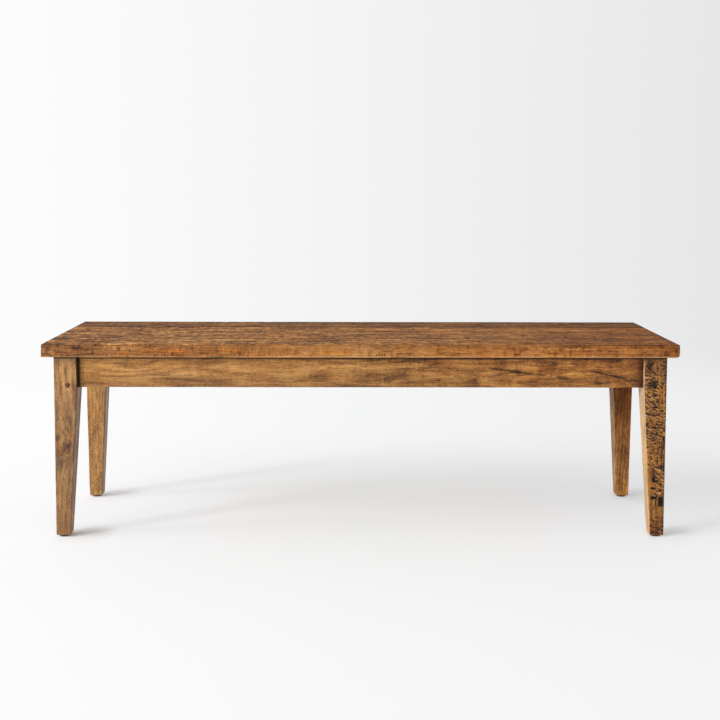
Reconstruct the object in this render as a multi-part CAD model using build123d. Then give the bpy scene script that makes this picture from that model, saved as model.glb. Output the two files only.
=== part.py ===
from build123d import *
import os
from math import sqrt

# A rustic wooden bench: a planked seat on four legs that taper on their two inner faces,
# joined by four aprons with mitred, pegged mortise and tenon joints. Three dovetailed cross
# rails, twelve wooden buttons and four corner blocks hold the seat and the frame together.
# All sizes are in millimetres. X runs along the bench, -Y is the front, +Z is up, and the
# origin is on the floor under the middle of the seat.

# Overall
seat_length = 1500.0
seat_depth = 410.0
bench_height = 470.0

# Seat planks, edge to edge with a tongue and groove, widths from front to back
seat_thickness = 31.0
plank_width_shares = (0.24, 0.305, 0.19, 0.265)
plank_tongue_thickness = 9.0
plank_tongue_reach = 8.0
plank_groove_spare = 0.6
seam_bevel = 0.8
seat_arris = 2.5
seat_end_arris = 1.8

# Legs
end_overhang = 21.5
front_overhang = 27.0
leg_width = 54.0
foot_width = 33.0
taper_drop = 4.0
leg_arris = 1.6
foot_bevel = 2.5

# Aprons and their tenons
apron_height = 78.0
apron_thickness = 20.0
apron_setback = 10.0
apron_arris = 1.5
tenon_thickness = 10.0
tenon_top_shoulder = 14.0
mitre_gap = 1.0

# Square-headed pegs through the tenons
peg_side = 10.0
peg_head_depth = 8.0
peg_proud = 1.0
peg_bevel = 0.8
peg_shank_radius = 2.5
peg_length = 28.0
peg_inset = 21.5
long_peg_rise = 7.0
end_peg_rise = 38.0

# Cross rails under the seat, dovetailed into the long aprons: one in the middle, and one near each
# end, its centre this far from the legs
rail_inset = 224.5
rail_width = 60.0
rail_thickness = 22.0
dovetail_reach = 12.0
dovetail_height = 14.0
dovetail_neck = 34.0
dovetail_flare = 5.0
screw_slot_travel = 6.0

# Corner blocks
block_thickness = 22.0
block_height = 56.0
block_drop = 3.0
block_screw_seat = 7.0
block_screw_pitch = 30.0

# Wooden buttons that clamp the seat to the aprons
button_width = 28.0
button_length = 28.0
button_standoff = 2.0
button_tongue_reach = 8.0
button_tongue_thickness = 8.0
button_lip = 12.0
button_pull_gap = 0.5
button_slot_play = 4.0
button_slot_spare = 1.0
end_button_share = 0.5

# Wood screws. Screws, nails, peg shanks and their holes have flat sides, more of them on the heads,
# and each radius is the distance to a flat.
head_sides = 8
shank_sides = 6
screw_shank_radius = 2.0
screw_head_radius = 4.0
screw_head_slope = 1.0
screw_head_height = 2.6
screw_tip = 4.0
tip_radius = 0.4
screw_bite = 18.0
block_screw_bite = 13.0
counterbore_depth = 4.0
counterbore_spare = 0.7

# Nail-on glides, drawn with enough flat sides to read as round
glide_sides = 32
glide_radius = 13.0
glide_height = 4.0
glide_rim = 1.5
glide_recess_radius = 6.0
glide_recess_depth = 2.2
nail_head_radius = 4.5
nail_head_slope = 0.5
nail_head_height = 1.2
nail_radius = 1.3
nail_bite = 18.0
nail_tip = 3.0

# Fits: the play round a glued joint or a driven pin, and how far a cut runs past its surface
fit_gap = 0.1
overrun = 5.0

# Places that follow from the sizes above
seat_underside = bench_height - seat_thickness
leg_x = end_overhang - seat_length / 2  # outer face of the left legs
leg_y = front_overhang - seat_depth / 2  # front face of the front legs
shoulder_x = leg_x + leg_width
shoulder_y = leg_y + leg_width
apron_bottom = seat_underside - apron_height
apron_outer_x = leg_x + apron_setback
apron_outer_y = leg_y + apron_setback
apron_inner_x = apron_outer_x + apron_thickness
apron_inner_y = apron_outer_y + apron_thickness
tenon_inset = apron_setback + (apron_thickness - tenon_thickness) / 2
tenon_top = seat_underside - tenon_top_shoulder
button_tongue_top = seat_underside - button_lip
corner_step = leg_width - apron_setback - apron_thickness
block_near = 2 * corner_step + fit_gap * sqrt(2)
block_far = block_near + block_thickness * sqrt(2)
rail_x = -shoulder_x - rail_inset

LEFT_RIGHT = (("left", 1), ("right", -1))
FRONT_REAR = (("front", 1), ("rear", -1))


def block(x0, x1, y0, y1, z0, z1):
    """A box between two corners."""
    centre = Pos((x0 + x1) / 2, (y0 + y1) / 2, (z0 + z1) / 2)
    return centre * Box(x1 - x0, y1 - y0, z1 - z0)


def prism(points, z0, z1):
    """A plan outline raised from z0 to z1."""
    return Pos(0, 0, z0) * extrude(make_face(Polyline(*points, close=True)), z1 - z0)


def at_corner(shape, side, face):
    """A front-left piece moved to another corner by mirroring; side and face are 1 or -1."""
    if side < 0:
        shape = mirror(shape, about=Plane.YZ)
    if face < 0:
        shape = mirror(shape, about=Plane.XZ)
    return shape


def turned(*stations, sides=shank_sides):
    """A many-sided body along Z through stations of radius and height, with straight sides."""
    sections = [
        Pos(0, 0, height) * RegularPolygon(radius, sides, major_radius=False)
        for radius, height in stations
    ]
    return loft(sections, ruled=True)


def spike(head_slope, head_radius, head_height, shank_radius, tip, length):
    """A screw or nail that points up, with the underside of its head at the origin."""
    head = turned((head_radius - head_slope, -head_height), (head_radius, 0), sides=head_sides)
    shank = turned((shank_radius, 0), (shank_radius, length - tip), (tip_radius, length))
    return head + shank


def screw(length):
    return spike(
        screw_head_slope, screw_head_radius, screw_head_height, screw_shank_radius, screw_tip, length
    )


def screw_hole(length):
    """The pilot hole that the shank of a screw fills."""
    radius = screw_shank_radius + fit_gap
    return turned((radius, -overrun), (radius, length + fit_gap))


def head_bore(depth, height):
    """The counterbore that a screw's head sinks into, from below up to a height."""
    radius = screw_head_radius + counterbore_spare
    return turned((radius, height - depth), (radius, height), sides=head_sides)


# Seat


def plank_edges():
    """The front and back edge of each plank."""
    edges = [-seat_depth / 2]
    for share in plank_width_shares:
        edges.append(edges[-1] + share * seat_depth)
    edges[-1] = seat_depth / 2
    return list(zip(edges, edges[1:]))


def plank_profile(front, back, first, last):
    """A plank's section in Y and Z: a groove in its front edge and a tongue on its back edge.

    The seat's own front and back edges have rounded arrises instead.
    """
    low, high = seat_underside, bench_height
    middle = (low + high) / 2
    half_tongue = plank_tongue_thickness / 2
    half_groove = half_tongue + fit_gap
    groove = front + plank_tongue_reach + plank_groove_spare
    points = [(front, low)]
    if not first:
        points += [
            (front, middle - half_groove),
            (groove, middle - half_groove),
            (groove, middle + half_groove),
            (front, middle + half_groove),
            (front, high - seam_bevel),
            (front + seam_bevel, high),
        ]
    else:
        points += [(front, high)]
    if not last:
        points += [
            (back - seam_bevel, high),
            (back, high - seam_bevel),
            (back, middle + half_tongue),
            (back + plank_tongue_reach, middle + half_tongue),
            (back + plank_tongue_reach, middle - half_tongue),
            (back, middle - half_tongue),
        ]
    else:
        points += [(back, high)]
    points += [(back, low)]
    face = make_face(Polyline(*points, close=True))
    if first:
        face = fillet(face.vertices().group_by(Axis.X)[0], seat_arris)
    if last:
        face = fillet(face.vertices().group_by(Axis.X)[-1], seat_arris)
    return face


def seat_envelope():
    """The whole seat as one slab with its end arrises bevelled, which trims every plank."""
    slab = block(
        -seat_length / 2, seat_length / 2, -seat_depth / 2, seat_depth / 2, seat_underside, bench_height
    )
    ends = slab.faces().filter_by(Axis.X)
    return chamfer(ends.edges(), seat_end_arris)


def seat_screw_places():
    """Where the screws through the cross rails go: one in each plank, over the rail's clear length."""
    places = []
    for front, back in plank_edges():
        near = max(front, apron_inner_y)
        far = min(back, -apron_inner_y)
        places += [(x, (near + far) / 2) for x in rail_places()]
    return places


def planks():
    envelope = seat_envelope()
    screws = seat_screw_group() + button_screw_group()
    widest = screw_shank_radius + fit_gap
    edges = plank_edges()
    made = {}
    for n, (front, back) in enumerate(edges, start=1):
        profile = plank_profile(front, back, n == 1, n == len(edges))
        board = Pos(-seat_length / 2, 0, 0) * extrude(Plane.YZ * profile, seat_length)
        over = back + plank_tongue_reach
        near = [s for s in screws if front - widest < s[0].position.Y < over + widest]
        drilled = [place * screw_hole(length) for place, length in near]
        made[f"seat_plank_{n}"] = (board & envelope) - drilled
    return made


# Legs


def leg_section(width, height, inset=0.0):
    """A square with eased corners at a height, measured from the leg's outer corner."""
    side = width - 2 * inset
    square = chamfer(Rectangle(side, side).vertices(), leg_arris)
    return Pos(leg_x + width / 2, leg_y + width / 2, height) * square


def leg():
    """The front left leg: square beside the aprons, then tapered on its two inner faces."""
    sections = [
        leg_section(foot_width, glide_height, foot_bevel),
        leg_section(foot_width, glide_height + foot_bevel),
        leg_section(leg_width, apron_bottom - taper_drop),
        leg_section(leg_width, seat_underside),
    ]
    body = loft(sections, ruled=True)
    near = tenon_inset - fit_gap
    far = tenon_inset + tenon_thickness + fit_gap
    low = apron_bottom - fit_gap
    high = tenon_top + fit_gap
    long_mortise = block(
        leg_x + near, shoulder_x + overrun, leg_y + near, leg_y + far, low, high
    )
    end_mortise = block(
        leg_x + near, leg_x + far, leg_y + near, shoulder_y + overrun, low, high
    )
    nail_hole = Pos(*foot_centre()) * turned(
        (nail_radius + fit_gap, glide_height - overrun),
        (nail_radius + fit_gap, glide_height + nail_bite + fit_gap),
    )
    pegs = [long_peg_place() * peg(fit_gap), end_peg_place() * peg(fit_gap)]
    return body - long_mortise - end_mortise - nail_hole - pegs


def foot_centre():
    return leg_x + foot_width / 2, leg_y + foot_width / 2


# Pegs


def peg(gap=0.0):
    """A peg driven along +Z from its outer end, set as a diamond; a gap makes it the hole's cutter."""
    side = peg_side + 2 * gap
    head = extrude(Rot(0, 0, 45) * Rectangle(side, side), peg_proud + peg_head_depth + gap)
    radius = peg_shank_radius + gap
    shank = turned((radius, 0), (radius, peg_length + gap))
    if not gap:
        head = chamfer(head.faces().sort_by(Axis.Z)[0].edges(), peg_bevel)
    return Pos(0, 0, -peg_proud) * head + shank


def long_peg_place():
    """Through the front face of the leg, into the tenon of the long apron."""
    origin = (shoulder_x - peg_inset, leg_y, apron_bottom + long_peg_rise)
    return Location(Plane(origin, x_dir=(1, 0, 0), z_dir=(0, 1, 0)))


def end_peg_place():
    """Through the outer face of the leg, into the tenon of the end apron."""
    origin = (leg_x, shoulder_y - peg_inset, apron_bottom + end_peg_rise)
    return Location(Plane(origin, x_dir=(0, 1, 0), z_dir=(1, 0, 0)))


# Aprons


def rail_places():
    return (-rail_x, 0, rail_x)


def dovetail(x, gap=0.0):
    """The dovetail on the front end of a cross rail; a gap makes it the socket's cutter."""
    neck = dovetail_neck / 2 + gap
    wide = neck + dovetail_flare
    root = apron_inner_y + gap
    tip = apron_inner_y - dovetail_reach - gap
    points = ((x - neck, root), (x + neck, root), (x + wide, tip), (x - wide, tip))
    top = seat_underside + (overrun if gap else 0)
    return prism(points, seat_underside - dovetail_height - gap, top)


def long_tenon():
    """The left tenon of the front apron, mitred where it meets the end apron's tenon."""
    y0 = leg_y + tenon_inset
    y1 = y0 + tenon_thickness
    x0 = leg_x + tenon_inset + mitre_gap
    x1 = x0 + tenon_thickness
    return prism(((shoulder_x, y0), (x0, y0), (x1, y1), (shoulder_x, y1)), apron_bottom, tenon_top)


def end_tenon():
    """The front tenon of the left apron, mitred the same way."""
    x0 = leg_x + tenon_inset
    x1 = x0 + tenon_thickness
    y0 = leg_y + tenon_inset + mitre_gap
    y1 = y0 + tenon_thickness
    return prism(((x0, shoulder_y), (x0, y0), (x1, y1), (x1, shoulder_y)), apron_bottom, tenon_top)


def button_slot():
    """The slot that holds the tongue of a button; the apron's inner face is at Y zero."""
    half = button_width / 2 + button_slot_play
    depth = button_tongue_reach + button_slot_spare
    low = button_tongue_top - button_tongue_thickness - button_slot_spare
    return block(-half, half, -depth, overrun, low, button_tongue_top)


def rounded_below(board, across):
    """A board with its two lower arrises rounded; across is the axis of its thickness."""
    lower = board.edges().group_by(Axis.Z)[0]
    along = Axis.X if across == Axis.Y else Axis.Y
    return fillet(lower.filter_by(along), apron_arris)


def front_apron():
    board = block(
        shoulder_x, -shoulder_x, apron_outer_y, apron_inner_y, apron_bottom, seat_underside
    )
    board = rounded_below(board, Axis.Y)
    tenon = long_tenon()
    board = board + tenon + mirror(tenon, about=Plane.YZ)
    cuts = [dovetail(x, fit_gap) for x in rail_places()]
    cuts += [place * button_slot() for place in long_button_places()]
    for side in (1, -1):
        cuts.append(at_corner(long_peg_place() * peg(fit_gap), side, 1))
        cuts += [at_corner(place * screw_hole(block_screw_length()), side, 1) for place in long_block_screws()]
    return board - cuts


def left_apron():
    board = block(
        apron_outer_x, apron_inner_x, shoulder_y, -shoulder_y, apron_bottom, seat_underside
    )
    board = rounded_below(board, Axis.X)
    tenon = end_tenon()
    board = board + tenon + mirror(tenon, about=Plane.XZ)
    cuts = [place * button_slot() for place in end_button_places()]
    for face in (1, -1):
        cuts.append(at_corner(end_peg_place() * peg(fit_gap), 1, face))
        cuts += [at_corner(place * screw_hole(block_screw_length()), 1, face) for place in end_block_screws()]
    return board - cuts


# Cross rails


def slot_cut(radius, sides, z0, z1):
    """A slot along Y: a flat-sided hole swept by the travel that the seat's movement needs."""
    hole = RegularPolygon(radius, sides, major_radius=False)
    width = hole.bounding_box().size.X
    slot = Rectangle(width, screw_slot_travel)
    for y in (-screw_slot_travel / 2, screw_slot_travel / 2):
        slot = slot + Pos(0, y) * hole
    return Pos(0, 0, z0) * extrude(slot, z1 - z0)


def rail_screw_slot():
    """A stepped slot, open below the rail, that lets the seat move across the grain."""
    low = seat_underside - rail_thickness
    hole = slot_cut(screw_shank_radius + fit_gap, shank_sides, low, seat_underside + overrun)
    bore = screw_head_radius + counterbore_spare
    head = slot_cut(bore, head_sides, low - overrun, low + counterbore_depth)
    return hole + head


def cross_rail(x):
    low = seat_underside - rail_thickness
    half = rail_width / 2
    bar = block(x - half, x + half, apron_inner_y, -apron_inner_y, low, seat_underside)
    tail = dovetail(x)
    bar = bar + tail + mirror(tail, about=Plane.XZ)
    slots = [Pos(px, py, 0) * rail_screw_slot() for px, py in seat_screw_places() if px == x]
    return bar - slots


def seat_screw_group():
    """The screws through the rails, each as the place of its head and its length."""
    seat = seat_underside - rail_thickness + counterbore_depth
    length = seat_underside + screw_bite - seat
    return [(Pos(x, y, seat), length) for x, y in seat_screw_places()]


# Corner blocks


def corner_block():
    """A diagonal block that bears on both aprons and on the inner corner of the leg."""
    x, y = apron_inner_x, apron_inner_y
    points = ((x + block_near, y), (x + block_far, y), (x, y + block_far), (x, y + block_near))
    high = seat_underside - block_drop
    body = prism(points, high - block_height, high)
    for place in long_block_screws() + end_block_screws():
        body = body - place * head_bore(block_far, 0) - place * screw_hole(block_screw_length())
    return body


def block_screw_length():
    return block_screw_seat + block_screw_bite


def block_screw_heights():
    middle = seat_underside - block_drop - block_height / 2
    return (middle - block_screw_pitch / 2, middle + block_screw_pitch / 2)


def long_block_screws():
    """Places of the two screws through the front left block into the front apron."""
    x = apron_inner_x + (block_near + block_far) / 2
    y = apron_inner_y + block_screw_seat
    planes = [Plane((x, y, z), x_dir=(1, 0, 0), z_dir=(0, -1, 0)) for z in block_screw_heights()]
    return [Location(plane) for plane in planes]


def end_block_screws():
    """Places of the two screws through the front left block into the left apron."""
    x = apron_inner_x + block_screw_seat
    y = apron_inner_y + (block_near + block_far) / 2
    planes = [Plane((x, y, z), x_dir=(0, 1, 0), z_dir=(-1, 0, 0)) for z in block_screw_heights()]
    return [Location(plane) for plane in planes]


# Buttons


def button():
    """An L-shaped button: its tongue reaches into the apron's slot, and the apron's face is at Y zero."""
    tongue_low = button_tongue_top - button_tongue_thickness
    back = button_standoff + button_length
    points = (
        (-button_tongue_reach, tongue_low),
        (back, tongue_low),
        (back, seat_underside - button_pull_gap),
        (button_standoff, seat_underside - button_pull_gap),
        (button_standoff, button_tongue_top),
        (-button_tongue_reach, button_tongue_top),
    )
    profile = Plane.YZ * make_face(Polyline(*points, close=True))
    body = Pos(-button_width / 2, 0, 0) * extrude(profile, button_width)
    bore = head_bore(overrun + counterbore_depth, button_screw_seat())
    hole = Pos(0, 0, button_screw_seat()) * screw_hole(button_screw_length())
    return body - Pos(0, button_screw_y(), 0) * bore - Pos(0, button_screw_y(), 0) * hole


def button_screw_y():
    return button_standoff + button_length / 2


def button_screw_seat():
    return button_tongue_top - button_tongue_thickness + counterbore_depth


def button_screw_length():
    return seat_underside + screw_bite - button_screw_seat()


def long_button_places():
    """Along the front apron: between the rails, and between the outer rails and the corner blocks."""
    inner = rail_x / 2
    outer = (rail_x + rail_width / 2 - apron_inner_x - block_far) / 2
    return [Pos(x, apron_inner_y, 0) for x in (-outer, -inner, inner, outer)]


def end_button_places():
    """Along the left apron, between the corner blocks."""
    reach = end_button_share * (-apron_inner_y - block_far)
    return [Pos(apron_inner_x, y, 0) * Rot(0, 0, -90) for y in (-reach, reach)]


def all_button_places():
    """Every button, by name: four on each long apron and two on each end apron."""
    places = {}
    for n, place in enumerate(long_button_places(), start=1):
        places[f"front_button_{n}"] = place
        places[f"rear_button_{n}"] = Rot(0, 0, 180) * place
    for n, place in enumerate(end_button_places(), start=1):
        places[f"left_button_{n}"] = place
        places[f"right_button_{n}"] = Rot(0, 0, 180) * place
    return places


def button_screw_group():
    """The button screws, each as the place of its head and its length."""
    seat = Pos(0, button_screw_y(), button_screw_seat())
    return [(place * seat, button_screw_length()) for place in all_button_places().values()]


# Glides


def glide_pad():
    """A round pad with a bevelled lower rim, hollowed under the nail's head."""
    pad = turned(
        (glide_radius - glide_rim, 0),
        (glide_radius, glide_rim),
        (glide_radius, glide_height),
        sides=glide_sides,
    )
    recess = turned(
        (glide_recess_radius, -overrun), (glide_recess_radius, glide_recess_depth), sides=head_sides
    )
    hole = turned((nail_radius + fit_gap, 0), (nail_radius + fit_gap, glide_height + overrun))
    return pad - recess - hole


def glide_nail():
    """The nail of a glide: its head lies in the recess, clear of the floor."""
    length = glide_height - glide_recess_depth + nail_bite
    nail = spike(nail_head_slope, nail_head_radius, nail_head_height, nail_radius, nail_tip, length)
    return Pos(0, 0, glide_recess_depth) * nail


# The whole bench, by node


def bench():
    nodes = planks()
    one_leg, one_block = leg(), corner_block()
    one_pad, one_nail = Pos(*foot_centre(), 0) * glide_pad(), Pos(*foot_centre(), 0) * glide_nail()
    long_peg, end_peg = long_peg_place() * peg(), end_peg_place() * peg()
    one_screw = screw(block_screw_length())
    nails, block_screws = [], []
    for face_name, face in FRONT_REAR:
        for side_name, side in LEFT_RIGHT:
            corner = f"{face_name}_{side_name}"
            nodes[f"{corner}_leg"] = at_corner(one_leg, side, face)
            nodes[f"{corner}_corner_block"] = at_corner(one_block, side, face)
            nodes[f"{corner}_glide"] = at_corner(one_pad, side, face)
            nodes[f"{corner}_long_peg"] = at_corner(long_peg, side, face)
            nodes[f"{corner}_end_peg"] = at_corner(end_peg, side, face)
            nails.append(at_corner(one_nail, side, face))
            for place in long_block_screws() + end_block_screws():
                block_screws.append(at_corner(place * one_screw, side, face))
    nodes["front_apron"] = front_apron()
    nodes["rear_apron"] = mirror(nodes["front_apron"], about=Plane.XZ)
    nodes["left_apron"] = left_apron()
    nodes["right_apron"] = mirror(nodes["left_apron"], about=Plane.YZ)
    for name, x in zip(("left", "middle", "right"), rail_places()):
        nodes[f"{name}_cross_rail"] = cross_rail(x)
    one_button = button()
    for name, place in all_button_places().items():
        nodes[name] = place * one_button
    nodes["glide_nails"] = Compound(nails)
    nodes["corner_block_screws"] = Compound(block_screws)
    nodes["seat_screws"] = Compound([place * screw(length) for place, length in seat_screw_group()])
    nodes["button_screws"] = Compound([place * screw(length) for place, length in button_screw_group()])
    return nodes


os.makedirs("parts", exist_ok=True)
for name, shape in bench().items():
    export_step(shape, f"parts/{name}.step")
print("seat underside", seat_underside, "apron bottom", apron_bottom)
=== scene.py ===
import math

import bpy
import numpy as np
from mathutils import Matrix, Vector


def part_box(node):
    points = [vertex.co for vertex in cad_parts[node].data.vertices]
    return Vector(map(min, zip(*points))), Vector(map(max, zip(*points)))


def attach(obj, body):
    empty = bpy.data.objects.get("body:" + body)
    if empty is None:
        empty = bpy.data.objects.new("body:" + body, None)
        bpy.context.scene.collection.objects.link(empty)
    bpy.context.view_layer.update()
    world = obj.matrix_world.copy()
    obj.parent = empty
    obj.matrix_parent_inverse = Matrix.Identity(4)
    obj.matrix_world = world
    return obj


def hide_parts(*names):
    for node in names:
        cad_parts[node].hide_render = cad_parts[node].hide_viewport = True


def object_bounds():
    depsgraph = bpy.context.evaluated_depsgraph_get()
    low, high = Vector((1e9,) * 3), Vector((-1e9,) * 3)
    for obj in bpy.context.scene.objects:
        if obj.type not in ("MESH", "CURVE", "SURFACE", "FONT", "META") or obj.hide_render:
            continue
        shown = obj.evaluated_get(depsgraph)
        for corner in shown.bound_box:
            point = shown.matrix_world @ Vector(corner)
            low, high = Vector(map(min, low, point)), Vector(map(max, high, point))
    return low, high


# The rustic bench, dressed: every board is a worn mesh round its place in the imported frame.
# Lengths are in metres. X runs along the bench, -Y is the front and +Z is up.

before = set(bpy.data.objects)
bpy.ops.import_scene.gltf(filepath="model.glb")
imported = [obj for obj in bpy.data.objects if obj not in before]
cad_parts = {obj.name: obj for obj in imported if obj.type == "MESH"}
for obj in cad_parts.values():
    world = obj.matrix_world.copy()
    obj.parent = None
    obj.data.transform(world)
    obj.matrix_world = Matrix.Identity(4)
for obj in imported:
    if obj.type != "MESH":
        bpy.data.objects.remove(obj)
cad_low, cad_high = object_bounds()
MM = 0.001

LEFT, RIGHT = 1, -1
FRONT, REAR = 1, -1
# Values that are given for each leg are in this order
CORNERS = {
    "front_left": (LEFT, FRONT),
    "front_right": (RIGHT, FRONT),
    "rear_left": (LEFT, REAR),
    "rear_right": (RIGHT, REAR),
}
X, Y, Z = 0, 1, 2
WHITE = (1.0, 1.0, 1.0, 1.0)
UNTINTED = (1, 1, 1)


def mm(*lengths):
    """Lengths in millimetres, as metres."""
    return tuple(length * MM for length in lengths)


def others(axis):
    return [a for a in (X, Y, Z) if a != axis]


def middle_of(node):
    low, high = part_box(node)
    return (low + high) / 2


# Noise on the meshes


def lattice_value(cells, seed):
    """A repeatable random number from -1 to 1 for each whole-numbered cell."""
    mixed = cells[..., 0] * 374761393 + cells[..., 1] * 668265263 + cells[..., 2] * 1274126177
    mixed = (mixed + seed * 974634777) & 0xFFFFFFFF
    mixed = ((mixed ^ (mixed >> 13)) * 1103515245) & 0xFFFFFFFF
    mixed = ((mixed ^ (mixed >> 16)) * 362437) & 0xFFFFFFFF
    return (mixed & 0xFFFFFF) / float(0x7FFFFF) - 1.0


def noise(points, size, seed):
    """Smooth noise from -1 to 1; size is the length of a feature along each axis."""
    scaled = points / size
    cell = np.floor(scaled)
    part = scaled - cell
    part = part * part * (3 - 2 * part)
    cell = cell.astype(np.int64)
    total = np.zeros(len(points))
    for corner in np.ndindex(2, 2, 2):
        weight = np.prod(np.where(corner, part, 1 - part), axis=1)
        total += weight * lattice_value(cell + np.array(corner), seed)
    return total


def layered(points, size, seed, layers=3):
    """Noise with finer and fainter layers added."""
    size = np.array(size, float)
    total = sum(noise(points, size / 2**n, seed + n) / 2**n for n in range(layers))
    return total / sum(1 / 2**n for n in range(layers))


def smooth(low, high, value):
    """0 below low, 1 above high and a smooth step between them."""
    t = np.clip((value - low) / (high - low), 0, 1)
    return t * t * (3 - 2 * t)


# Boards


def measured(depth, *shares):
    """A table's depth, in tenths of a millimetre, as metres, and its per cents as shares."""
    return (depth / 10 * MM, *(share / 100 for share in shares))


ARRIS_STOPS = np.array([0.5, 1.1, 1.8, 2.7, 4.0]) * MM


def stops(low, high, step):
    """Grid lines from low to high, closer together beside both arrises."""
    margin = ARRIS_STOPS[-1]
    count = max(1, round((high - low - 2 * margin) / step))
    middle = np.linspace(low + margin, high - margin, count + 1)
    near, far = low + ARRIS_STOPS[:-1], high - ARRIS_STOPS[-2::-1]
    return np.concatenate([[low], near, middle, far, [high]])


def lattice(xs, ys, zs):
    """The surface of a box on grid lines: its points and its outward four-sided faces."""
    shape = (len(xs), len(ys), len(zs))
    index = np.indices(shape)
    last = np.array(shape).reshape(3, 1, 1, 1) - 1
    on_surface = ((index == 0) | (index == last)).any(axis=0)
    ids = np.full(shape, -1)
    ids[on_surface] = np.arange(on_surface.sum())
    where = index[:, on_surface]
    points = np.stack([xs[where[0]], ys[where[1]], zs[where[2]]], axis=1)
    quads = []
    for axis in (X, Y, Z):
        for end in (0, -1):
            sheet = np.take(ids, end, axis=axis)
            a, b, c, d = sheet[:-1, :-1], sheet[1:, :-1], sheet[1:, 1:], sheet[:-1, 1:]
            outward = (end == -1) == (axis != Y)
            loop = (a, b, c, d) if outward else (a, d, c, b)
            quads.append(np.stack(loop, axis=-1).reshape(-1, 4))
    return points, np.concatenate(quads)


class Board:
    """A worn piece of wood: points, outward directions and what the finish reads at each point.

    A face of it is (axis, sign), and places on a face are given in its two axes, in order.
    """

    def __init__(self, low, high, step, radius):
        self.low, self.high = np.array(low, float), np.array(high, float)
        self.flat, self.quads = lattice(*(stops(*line) for line in zip(self.low, self.high, step)))
        radius = np.minimum(radius(self.flat), (self.high - self.low).min() * 0.45)[:, None]
        core = np.clip(self.flat, self.low + radius, self.high - radius)
        away = self.flat - core
        self.normal = away / np.linalg.norm(away, axis=1)[:, None]
        self.points = core + self.normal * radius
        count = len(self.flat)
        self.height, self.stain_and_shade, self.pale = np.zeros((3, count))
        self.figure, self.tone = np.ones(count), np.ones((count, 3))

    def facing(self, axis, sign):
        """1 where the board faces that way, 0 where it doesn't, with a soft edge."""
        return smooth(0.35, 0.8, sign * self.normal[:, axis])

    def arris(self, width, axes):
        """1 on the arrises between faces on these axes, fading to 0 at a distance from them."""
        gaps = np.minimum(self.flat - self.low, self.high - self.flat)[:, axes]
        return 1 - smooth(0.0, width, np.sort(gaps, axis=1)[:, 1])

    # Darkens the finish: for dirt and stains, and also for painted shade under the seat and in the corners
    # where the aprons meet the legs.
    def add_dirt_and_shade(self, amount):
        self.stain_and_shade = np.maximum(self.stain_and_shade, amount)

    # Lightens the finish: for wear, and also for a painted highlight along the seat's lower front arris.
    def add_wear_and_highlight(self, amount):
        self.pale = np.maximum(self.pale, amount)

    def mark(
        self, face, centre, half, angle=0, depth=0, dark=0, pale=0, soft=0.6, tint=UNTINTED, square=False
    ):
        """A dent, a stained patch or a scratch; half is its two half sizes and angle its turn in degrees.
        """
        axis, sign = face
        first, second = others(axis)
        across, up = self.flat[:, first] - centre[0], self.flat[:, second] - centre[1]
        reach = max(half) * 1.3
        close = (abs(across) < reach) & (abs(up) < reach)
        near = np.flatnonzero(close & (sign * self.normal[:, axis] > 0.3))
        turn = math.radians(angle)
        across, up = across[near], up[near]
        along = (across * math.cos(turn) + up * math.sin(turn)) / half[0]
        over = (up * math.cos(turn) - across * math.sin(turn)) / half[1]
        size = np.maximum(abs(along), abs(over)) if square else np.hypot(along, over)
        amount = (1 - smooth(soft, 1.0, size)) * self.facing(axis, sign)[near]
        self.height[near] -= depth * amount
        self.stain_and_shade[near] = np.maximum(self.stain_and_shade[near], dark * amount)
        self.pale[near] = np.maximum(self.pale[near], pale * amount)
        self.tone[near] *= 1 + amount[:, None] * (np.array(tint) - 1)

    def marks(self, face, rows):
        """Marks from a table."""
        for x, y, half_1, half_2, angle, *strengths in rows:
            self.mark(face, mm(x, y), mm(half_1, half_2), angle, *measured(*strengths))

    def scatter(self, face, count, long, wide, depth, dark, seed, lean, turn=0, spans=None, tint=UNTINTED):
        """Marks thrown over a face, with ranges in millimetres of the half sizes and the depth.

        spans, in metres, keeps them to a part of the face.
        """
        reach = spans or [(self.low[a], self.high[a]) for a in others(face[0])]
        luck = np.random.RandomState(seed)
        for _ in range(count):
            centre = [luck.uniform(*span) for span in reach]
            half = mm(luck.uniform(*long), luck.uniform(*wide))
            angle = turn + luck.normal(0, lean)
            cut, stain_and_shade = luck.uniform(*depth) * MM, luck.uniform(*dark)
            self.mark(face, centre, half, angle, cut, stain_and_shade, soft=0.35, tint=tint)

    def chatter(self, face, rows):
        """Rows of short cuts left by a blade, from a table.

        It gives where they begin and end, their pitch and their half sizes, in millimetres, and
        then the angle, the darkness, the seed, the share left out and how pale the raised lips under the
        cuts are: a painted highlight along each cut's lower edge.
        """
        for span_1, span_2, pitch, half, angle, dark, seed, miss, lip_highlight in rows:
            luck = np.random.RandomState(seed)
            for n, column in enumerate(np.arange(*span_1, pitch[0])):
                for row in np.arange(span_2[0] + (n % 2) * pitch[1] / 2, span_2[1], pitch[1]):
                    chance, shift, longer, lean, darker = luck.rand(5)
                    if chance < miss:
                        continue
                    x = column + (shift - 0.5) * pitch[0] * 0.5
                    y = row + (longer - 0.5) * pitch[1] * 0.5
                    size = mm(half[0] * (0.7 + 0.6 * longer), half[1] * (0.8 + 0.5 * darker))
                    slant = angle + (lean - 0.5) * 24
                    # A pale, slightly raised line under the cut: a painted highlight on its lower edge.
                    if lip_highlight:
                        below = (x * MM, y * MM - 2.2 * size[1])
                        self.mark(face, below, size, slant, -0.2 * MM, 0, lip_highlight * darker, soft=0.4)
                    self.mark(face, mm(x, y), size, slant, 0.5 * MM, dark * (0.75 + 0.45 * darker))

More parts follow.
